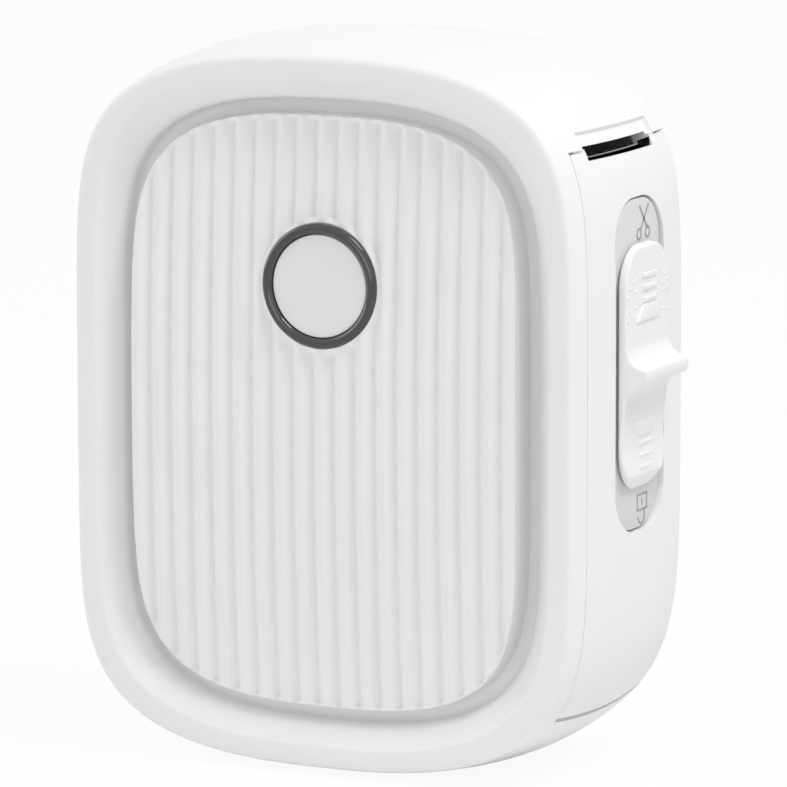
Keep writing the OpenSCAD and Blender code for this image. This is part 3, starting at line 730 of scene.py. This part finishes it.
class PRINTER_OT_front_housing(bpy.types.Operator):
    """The deep moulded shell: rim, moat, top, left and bottom walls, slot lip and pocket"""

    bl_idname = "printer.front_housing"
    bl_label = "Front Housing"

    def execute(self, context):
        shell = in_mm(context.scene.printer_shell)
        stations = RIM_STATIONS + [(0.0, y) for y in WALL_DEPTHS] + BACK_STATIONS
        bm = bmesh.new()
        rings = loft(bm, shell, stations)
        for ring, (inset, y) in zip(rings, stations):
            if POCKET_FRONT <= y <= POCKET_BACK and inset == 0.0:
                for i, z in enumerate(SIDE_HEIGHTS):
                    if SLOT_TOP <= z <= POCKET_TOP:
                        ring[i].co = ring_spot(shell, i, POCKET_SUNK, y)
        gone = []
        for r, face in side_faces(bm, rings, SEAM_LOW, SEAM_TOP):
            if (stations[r][1] + stations[r + 1][1]) / 2 >= SEAM_FRONT and stations[r][0] <= RIM_INSET:
                gone.append(face)
        bmesh.ops.delete(bm, geom=gone, context="FACES")
        floor = -(half_sizes(shell, MID_DEPTH)[1] - shell.base_flat)
        for v in bm.verts:
            v.co.z = max(v.co.z, floor)
        seat(bm)
        obj = piece(bm, "housing_shell", shell_white(context), "base", 40)
        thicken(obj, shell.wall, 40)
        cut(obj, label_slot(), "DIFFERENCE", 40)
        round_edges(obj, 0.14)
        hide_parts("front_housing")

        # Lips inside the wall close the front parting line and the seam under the side panel.
        behind = [(1.7, y) for y in WALL_DEPTHS[1:]]
        lips = {
            "parting_lip": ([(0.22, 3.6), (0.22, 4.7), (1.3, 4.7), (1.3, 3.6)],
                            SIDE_LOW + 1.5, SIDE_TOP - 0.6),
            "seam_lip": (behind + [(2.9, y) for _, y in reversed(behind)], SEAM_LOW - 1.2, SIDE_LOW + 1.2),
        }
        # Everything left of this belongs to the far side of the body.
        middle = (ring_spot(shell, 20, 0, SIDE_FRONT).x - 9) * MM
        for name, (section, low, high) in lips.items():
            lip = bmesh.new()
            loft(lip, shell, section + section[:1])
            seat(lip)
            for spot, way in (
                ((0, 0, (low + MID_HEIGHT) * MM), (0, 0, -1)),
                ((0, 0, (high + MID_HEIGHT) * MM), (0, 0, 1)),
                ((middle, 0, 0), (-1, 0, 0)),
            ):
                everything = lip.verts[:] + lip.edges[:] + lip.faces[:]
                bmesh.ops.bisect_plane(lip, geom=everything, dist=1e-7, plane_co=spot, plane_no=way,
                                       clear_outer=True)
            bmesh.ops.holes_fill(lip, edges=[e for e in lip.edges if e.is_boundary], sides=0)
            bmesh.ops.recalc_face_normals(lip, faces=lip.faces[:])
            obj = piece(lip, name, shell_white(context), "base", 40)
        return {"FINISHED"}


class PRINTER_OT_side_panel(bpy.types.Operator):
    """The side panel with its slot notch and the slider's recess"""

    bl_idname = "printer.side_panel"
    bl_label = "Side Panel"

    def execute(self, context):
        shell = in_mm(context.scene.printer_shell)
        bm = bmesh.new()
        rings = loft(bm, shell, [(0.0, y) for y in WALL_DEPTHS if y >= SEAM_BACK] + BACK_STATIONS)
        keep = {face for _, face in side_faces(bm, rings, SIDE_LOW, SIDE_TOP)}
        bmesh.ops.delete(bm, geom=[f for f in bm.faces if f not in keep], context="FACES")
        seat(bm)
        obj = piece(bm, "side_panel_shell", shell_white(context), "base", 40)
        # An open skin can come out facing inwards, and the wall goes on its inside.
        if sum(p.normal.x * p.area for p in obj.data.polygons) < 0:
            obj.data.flip_normals()
        thicken(obj, 2.0, 40)
        cut(obj, label_slot(), "DIFFERENCE", 40)
        mouth = rounded_spots(15.2, RECESS_LOW, RECESS_HIGH, 6.2, SLIDER_Y)
        cut(obj, prism(mouth, 30.0, OUTSIDE, "X"), "DIFFERENCE", 30)
        round_edges(obj, 0.12)
        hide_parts("side_panel")

        # The floor stands 0.3 mm clear of the mouth all round, which draws its dark outline.
        under, gap = 35.4, 0.3
        spots = rounded_spots(14.6, RECESS_LOW + gap, RECESS_HIGH - gap, 6.0, SLIDER_Y)
        floor = prism(spots, under, RECESS_FLOOR, "X")
        for level in (under, RECESS_FLOOR):
            bevel(floor, [e for e in floor.edges if all(abs(v.co.x - level) < 1e-4 for v in e.verts)], 0.12)
        seat(floor)
        # The floor's darker grey is painted shade for the recess under the slider.
        tray = piece(floor, "recess_floor", recess_painted_shade_grey(context), "base", 40)
        return {"FINISHED"}


class PRINTER_OT_ribbed_panel(bpy.types.Operator):
    """The front panel: soft vertical ribs, bowed lengthwise, with a rounded edge"""

    bl_idname = "printer.ribbed_panel"
    bl_label = "Ribbed Panel"

    def execute(self, context):
        panel = in_mm(context.scene.printer_panel)
        a, b = panel.half_w, panel.half_h
        # The ribs fade out over this width beside the outline and round the button's hole.
        hole, fade, overlap = 8.45, 0.7, 0.6
        bow = 0.0011
        bm = bmesh.new()
        # Twelve strips to a rib, and rows that close up towards the ends.
        bmesh.ops.create_grid(bm, x_segments=12 * RIBS, y_segments=240, size=1.0)
        for v in bm.verts:
            x = v.co.x * RIBS * panel.rib_pitch / 2
            z = (b + overlap) * v.co.y * (1.25 - 0.25 * v.co.y * v.co.y)
            v.co = Vector((x, panel.crest + self.depth(panel, x, z, hole + 0.15, fade) + bow * z * z, z))
        skin = bmesh.ops.extrude_face_region(bm, geom=list(bm.faces))["geom"]
        for v in verts_of(skin):
            v.co.y = 6.0
        seat(bm)
        obj = piece(bm, "ribbed_panel", panel_white(context), "base", 30)
        outline = []
        for k in range(220):
            angle = 2 * math.pi * k / 220
            r = reach(angle, PANEL_POWER, TOP_POWER)
            outline.append((r * math.cos(angle) * a, r * math.sin(angle) * b))
        cut(obj, prism(outline, -3.0, 5.7, "Y"), "INTERSECT", 35)
        rim = [(x, BUTTON_Z + z) for x, z in circle_spots(96, hole)]
        cut(obj, prism(rim, -3.0, 7.0, "Y"), "DIFFERENCE", 35)
        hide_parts("front_panel")
        return {"FINISHED"}

    @staticmethod
    def depth(panel, x, z, hole, fade):
        """How far the panel lies below a rib's crest: the rib's valley and the roll of the panel's edge."""
        across, up = abs(x) / panel.half_w, abs(z) / panel.half_h
        level = across**PANEL_POWER + up**TOP_POWER
        slope = math.hypot(PANEL_POWER / panel.half_w * across ** (PANEL_POWER - 1),
                           TOP_POWER / panel.half_h * up ** (TOP_POWER - 1))
        inside = (1 - level) / max(slope, 1e-4)
        rib = 2 * abs(x / panel.rib_pitch - round(x / panel.rib_pitch))
        soft = (rib * rib + 0.5 - 0.5 * math.cos(math.pi * rib)) / 2
        valley = panel.rib_rise * soft * clamp(min(inside, math.hypot(x, z - BUTTON_Z) - hole) / fade) ** 0.7
        radius = panel.edge_round
        t = min(max(inside, 0.0), radius)
        return valley + radius - math.sqrt(max(0.0, radius**2 - (radius - t) ** 2))


# (radius, depth) about the button's axis: the ring from its bore over the crown, and the cap with its stem.
RING_PROFILE = (
    (7.0, 4.2), (7.0, 0.75), (7.03, 0.45), (7.12, 0.22), (7.3, 0.06), (7.55, -0.03), (7.8, -0.05),
    (8.05, 0.0), (8.25, 0.1), (8.38, 0.24), (8.42, 0.5), (8.42, 4.2), (7.0, 4.2),
)
CAP_PROFILE = (
    (0.0, 0.42), (3.0, 0.4), (5.6, 0.36), (6.5, 0.35), (6.8, 0.4), (6.9, 0.5), (6.93, 0.7), (6.93, 2.2),
    (2.0, 2.3), (2.0, 6.4), (0.0, 6.4),
)


def spun(profile):
    """Spins an (r, y) profile once round the button's axis."""
    bm = bmesh.new()
    verts = [bm.verts.new((r, y, 0.0)) for r, y in profile]
    edges = [bm.edges.new((verts[i], verts[i + 1])) for i in range(len(verts) - 1)]
    bmesh.ops.spin(bm, geom=verts + edges, cent=(0, 0, 0), axis=(0, 1, 0), angle=2 * math.pi, steps=128,
                   use_merge=True, use_duplicate=False)
    bmesh.ops.remove_doubles(bm, verts=bm.verts, dist=1e-5)
    bmesh.ops.translate(bm, vec=(0, 0, BUTTON_Z), verts=bm.verts)
    seat(bm)
    return bm


class PRINTER_OT_button(bpy.types.Operator):
    """Dark gloss ring and the light grey cap inside it"""

    bl_idname = "printer.button"
    bl_label = "Button"

    def execute(self, context):
        finish = context.scene.printer_finish
        # Gloss ABS: a dark ring with one soft highlight along it.
        gloss = finish_material("gloss_moulded_dark_grey", finish.ring, 0.16, 0.5, 0.003, wear=0.02, coat=0.5)
        obj = piece(spun(RING_PROFILE), "button_bezel", gloss, "base", 45)
        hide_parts("button_ring")
        # Satin ABS: flat and quiet, a shade duller than the panel round it.
        satin = finish_material("satin_moulded_light_grey", finish.cap, 0.48, 0.3, 0.01, wear=0.02)
        obj = piece(spun(CAP_PROFILE), "button_cap_skin", satin, "button", 35)
        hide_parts("button_cap")
        return {"FINISHED"}


# Top of the dished lower pad, the height of its blunt foot, and where the fin's upper side starts.
DISH_TOP, FOOT_RISE, FIN_TOP = 2.1, 2.0, 7.3
# Heights of the grip bars above and below the fin.
UPPER_BARS = (19.1, 17.5, 15.9)
LOWER_BARS = (-3.6, -5.2, -6.8)
# Three fans of studs on each side of the upper bars, as (depth, height).
STUDS = (
    (15.9, 19.1), (14.3, 18.6), (13.2, 17.8), (12.3, 16.7),
    (14.7, 17.3), (13.7, 16.3), (12.7, 15.0), (12.3, 13.7),
    (14.7, 15.2), (13.95, 14.1),
    (22.7, 19.0), (24.0, 18.5), (25.1, 17.7), (25.4, 16.5),
    (22.3, 17.7), (23.5, 17.3), (24.4, 16.4), (24.9, 14.9), (25.2, 13.6),
    (21.9, 16.2), (22.9, 15.2), (23.3, 14.0),
)


def low_pad_face(slider, z):
    """Face of the dished lower pad at a height."""
    foot = SLIDER_LOW + FOOT_RISE
    return slider.face - 0.2 - 0.4 * math.sin(math.pi * clamp((z - foot) / (DISH_TOP - foot)))


def slider_profile(slider):
    """(x, z) down the slider's face: upper pad, hollow, blunt fin, undercut and dished lower pad."""
    face, crest = slider.face, slider.crest
    quarter = [math.pi / 2 * (1 - k / 15) for k in range(16)]
    spots = [(SLIDER_BACK, SLIDER_HIGH), (face - 0.35, SLIDER_HIGH), (face, SLIDER_HIGH - 0.5)]
    spots += [(face, 22.0 - 3.8 * k) for k in range(4)]
    spots += [(crest - 0.2 - (crest - 0.2 - face) * math.sin(a), FIN_TOP + 3.0 * (1 - math.cos(a)))
              for a in quarter]
    spots += [(crest - 0.08, 7.15), (crest, 6.85), (crest, 6.4), (crest - 0.06, 5.95), (crest - 0.15, 5.6)]
    spots += [(face - 0.2 + (crest - 0.1 - face) * (1 - math.cos(a)), DISH_TOP + 3.2 * math.sin(a))
              for a in quarter]
    for k in range(1, 17):
        z = DISH_TOP + (SLIDER_LOW + FOOT_RISE - DISH_TOP) * k / 16
        spots.append((low_pad_face(slider, z), z))
    return spots + [(face - 1.1, SLIDER_LOW), (SLIDER_BACK, SLIDER_LOW)]


class PRINTER_OT_thumb_slider(bpy.types.Operator):
    """Rounded pad with its thumb fin and the moulded grip marks"""

    bl_idname = "printer.thumb_slider"
    bl_label = "Thumb Slider"

    def execute(self, context):
        slider = in_mm(context.scene.printer_slider)
        half = slider.width / 2 - 0.02
        bm = prism(slider_profile(slider), SLIDER_Y - half, SLIDER_Y + half, "Y")
        seat(bm)
        white = panel_white(context)
        obj = piece(bm, "slider_pad", white, "thumb_slider", 180)
        outline = rounded_spots(slider.width, SLIDER_LOW, SLIDER_HIGH, 5.6, SLIDER_Y)
        cut(obj, prism(outline, 36.0, OUTSIDE, "X"), "INTERSECT", 180)
        # Even small faces, smoothed, round every edge as the mould does.
        remesh = obj.modifiers.new("even_skin", "REMESH")
        remesh.mode = "VOXEL"
        remesh.voxel_size = 0.17 * MM
        soft = obj.modifiers.new("mould_round", "SMOOTH")
        soft.factor = 0.5
        soft.iterations = 5
        apply_modifiers(obj, 180)
        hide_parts("slider")
        self.grip(slider, white)
        return {"FINISHED"}

    @staticmethod
    def grip(slider, material):
        """Bars, a raised foot and fans of small studs above the fin, a foot and bars below it."""
        bm = bmesh.new()

        def raised(spots, face, rise):
            tool = prism(spots, face - 0.2, face + rise, "X")
            top = [e for e in tool.edges if all(abs(v.co.x - face - rise) < 1e-5 for v in e.verts)]
            bevel(tool, top, 0.1)
            join(bm, tool)

        def bar(middle, z, face, rise):
            half, thick = 2.15, 0.27
            raised([(middle - half, z - thick), (middle + half, z - thick), (middle + half, z + thick),
                    (middle - half, z + thick)], face, rise)

        rise = slider.grip_rise
        for z in UPPER_BARS:
            bar(19.15, z, slider.face, rise)
        raised([(15.1, 13.1), (22.5, 13.1), (21.3, 15.2), (17.1, 15.2)], slider.face, rise)
        for y, z in STUDS:
            raised([(y + a, z + b) for a, b in circle_spots(8, 0.2)], slider.face, rise * 0.7)
        raised([(16.9, -2.5), (21.3, -2.5), (23.2, -0.3), (15.0, -0.3)], low_pad_face(slider, -1.4),
               rise * 0.7)
        for z in LOWER_BARS:
            bar(19.3, z, low_pad_face(slider, z), rise * 0.55)
        seat(bm)
        obj = piece(bm, "slider_grip", material, "thumb_slider", 40)


class PRINTER_OT_pictograms(bpy.types.Operator):
    """Open scissors and an open padlock marked on the recess floor"""

    bl_idname = "printer.pictograms"
    bl_label = "Recess Pictograms"

    def execute(self, context):
        bm = bmesh.new()

        def mark(spots):
            join(bm, prism(spots, RECESS_FLOOR - 0.04, RECESS_FLOOR + 0.04, "X"))

        def stroke(start, end, width):
            a, b = Vector(start), Vector(end)
            across = (b - a).normalized()
            side = Vector((-across.y, across.x)) * width / 2
            mark([tuple(a - side), tuple(b - side), tuple(b + side), tuple(a + side)])

        def hoop(y, z, radius, width, start=0.0, turn=2 * math.pi, parts=28):
            near, far = radius - width / 2, radius + width / 2
            for k in range(parts):
                a0, a1 = start + turn * k / parts, start + turn * (k + 1.04) / parts
                mark([(y + r * math.cos(a), z + r * math.sin(a))
                      for r, a in ((near, a0), (far, a0), (far, a1), (near, a1))])

        # Scissors: blades up, loops down.
        stroke((19.5, 28.0), (22.0, 24.9), 0.4)
        stroke((22.4, 28.0), (20.0, 24.9), 0.4)
        hoop(19.4, 24.25, 0.68, 0.34)
        hoop(22.15, 24.25, 0.68, 0.34)
        # Open padlock: body above, shackle below.
        line = 0.3
        stroke((19.2, -10.95), (22.3, -10.95), line)
        stroke((22.3, -10.85), (22.3, -13.15), line)
        stroke((22.3, -13.05), (19.2, -13.05), line)
        stroke((19.2, -13.15), (19.2, -10.85), line)
        stroke((20.75, -11.6), (20.75, -12.4), line)
        hoop(20.5, -13.95, 0.98, line, math.pi, math.pi, 14)
        stroke((21.48, -13.05), (21.48, -13.98), line)
        seat(bm)
        # Pad-printed ink: thin flat lines, with no shine.
        colour = context.scene.printer_finish.mark
        grey = finish_material("pad_printed_grey", colour, 0.5, 0.2, 0.004, wear=0.0)
        obj = piece(bm, "recess_marks", grey, "base", 40, outward=False)
        return {"FINISHED"}


class PRINTER_OT_back_door(bpy.types.Operator):
    """The cover over the label bay, with its hinge barrels and finger notch"""

    bl_idname = "printer.back_door"
    bl_label = "Back Door"

    def execute(self, context):
        shell = in_mm(context.scene.printer_shell)
        bm = bmesh.new()
        rings = loft(bm, shell, DOOR_STATIONS)
        bm.faces.new(rings[0])
        bm.faces.new(rings[-1])
        bmesh.ops.recalc_face_normals(bm, faces=bm.faces)
        seat(bm)
        obj = piece(bm, "back_cover", shell_white(context), "door", 40)
        # Straight hinge side, a slot for each pair of barrels, then the finger notch, as (x, x, z, z, depth).
        for left, right, low, high, depth in (
            (-OUTSIDE, HINGE_X + 0.1, -OUTSIDE, OUTSIDE, 30.0),
            (-OUTSIDE, -33.0, -HINGE_Z - HINGE_HALF, -HINGE_Z + HINGE_HALF, 30.0),
            (-OUTSIDE, -33.0, HINGE_Z - HINGE_HALF, HINGE_Z + HINGE_HALF, 30.0),
            (33.4, OUTSIDE, -9, 9, 33.1),
        ):
            spots = [(left, low), (right, low), (right, high), (left, high)]
            cut(obj, prism(spots, depth, 40.0, "Y"), "DIFFERENCE", 35)
        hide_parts("back_door")

        for name, body, spans in (("door_barrels", "door", ((6, 14), (-14, -6))),
                                  ("housing_barrels", "base", ((14.25, 18.25), (-18.25, -14.25)))):
            bm = bmesh.new()
            for low, high in spans:
                made = bmesh.ops.create_cone(bm, cap_ends=True, segments=40, radius1=1.1, radius2=1.1,
                                             depth=high - low)
                bmesh.ops.translate(bm, vec=(HINGE_X, HINGE_Y, (low + high) / 2), verts=made["verts"])
            bevel(bm, [e for e in bm.edges if len(e.link_faces) == 2 and e.calc_face_angle() > 1.0], 0.15)
            seat(bm)
            barrel = piece(bm, name, shell_white(context), body, 40)
        return {"FINISHED"}


# ---- inner pieces and the add-on's panel


class PRINTER_OT_inner_finishes(bpy.types.Operator):
    """Finishes of the mechanism, boards, cells and label cassette"""

    bl_idname = "printer.inner_finishes"
    bl_label = "Inner Finishes"

    def execute(self, context):
        for name, (colour, rough, grain, bump, extra) in INNER_FINISHES.items():
            finish_material(name, colour, rough, grain, bump, **extra)
        for node, finish in NODE_FINISHES.items():
            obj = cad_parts[node]
            material = bpy.data.materials[finish]
            if not obj.material_slots:
                obj.data.materials.append(material)
            for slot in obj.material_slots:
                slot.material = material
        return {"FINISHED"}


class PRINTER_PT_sidebar(bpy.types.Panel):
    """Sizes, colours and steps of the label printer"""

    bl_label = "Label Printer"
    bl_idname = "PRINTER_PT_sidebar"
    bl_space_type = "VIEW_3D"
    bl_region_type = "UI"
    bl_category = "Label Printer"

    def draw(self, context):
        scene = context.scene
        for group in (scene.printer_shell, scene.printer_panel, scene.printer_slider, scene.printer_finish,
                      scene.printer_stage):
            box = self.layout.box()
            for key in group.__annotations__:
                box.prop(group, key)
        for operator in STEPS:
            self.layout.operator(operator.bl_idname)


STEPS = [
    PRINTER_OT_stage, PRINTER_OT_front_housing, PRINTER_OT_side_panel, PRINTER_OT_ribbed_panel,
    PRINTER_OT_button, PRINTER_OT_thumb_slider, PRINTER_OT_pictograms, PRINTER_OT_back_door,
    PRINTER_OT_inner_finishes,
]
GROUPS = {
    "printer_shell": PRINTER_PG_shell, "printer_panel": PRINTER_PG_panel, "printer_slider": PRINTER_PG_slider,
    "printer_finish": PRINTER_PG_finish, "printer_stage": PRINTER_PG_stage,
}


def register():
    for cls in [*GROUPS.values(), *STEPS, PRINTER_PT_sidebar]:
        bpy.utils.register_class(cls)
    for key, cls in GROUPS.items():
        setattr(bpy.types.Scene, key, bpy.props.PointerProperty(type=cls))


def unregister():
    for key in GROUPS:
        delattr(bpy.types.Scene, key)
    for cls in reversed([*GROUPS.values(), *STEPS, PRINTER_PT_sidebar]):
        bpy.utils.unregister_class(cls)


def main():
    register()
    for operator in STEPS:
        group, name = operator.bl_idname.split(".")
        getattr(getattr(bpy.ops, group), name)()


if __name__ == "__main__":
    main()
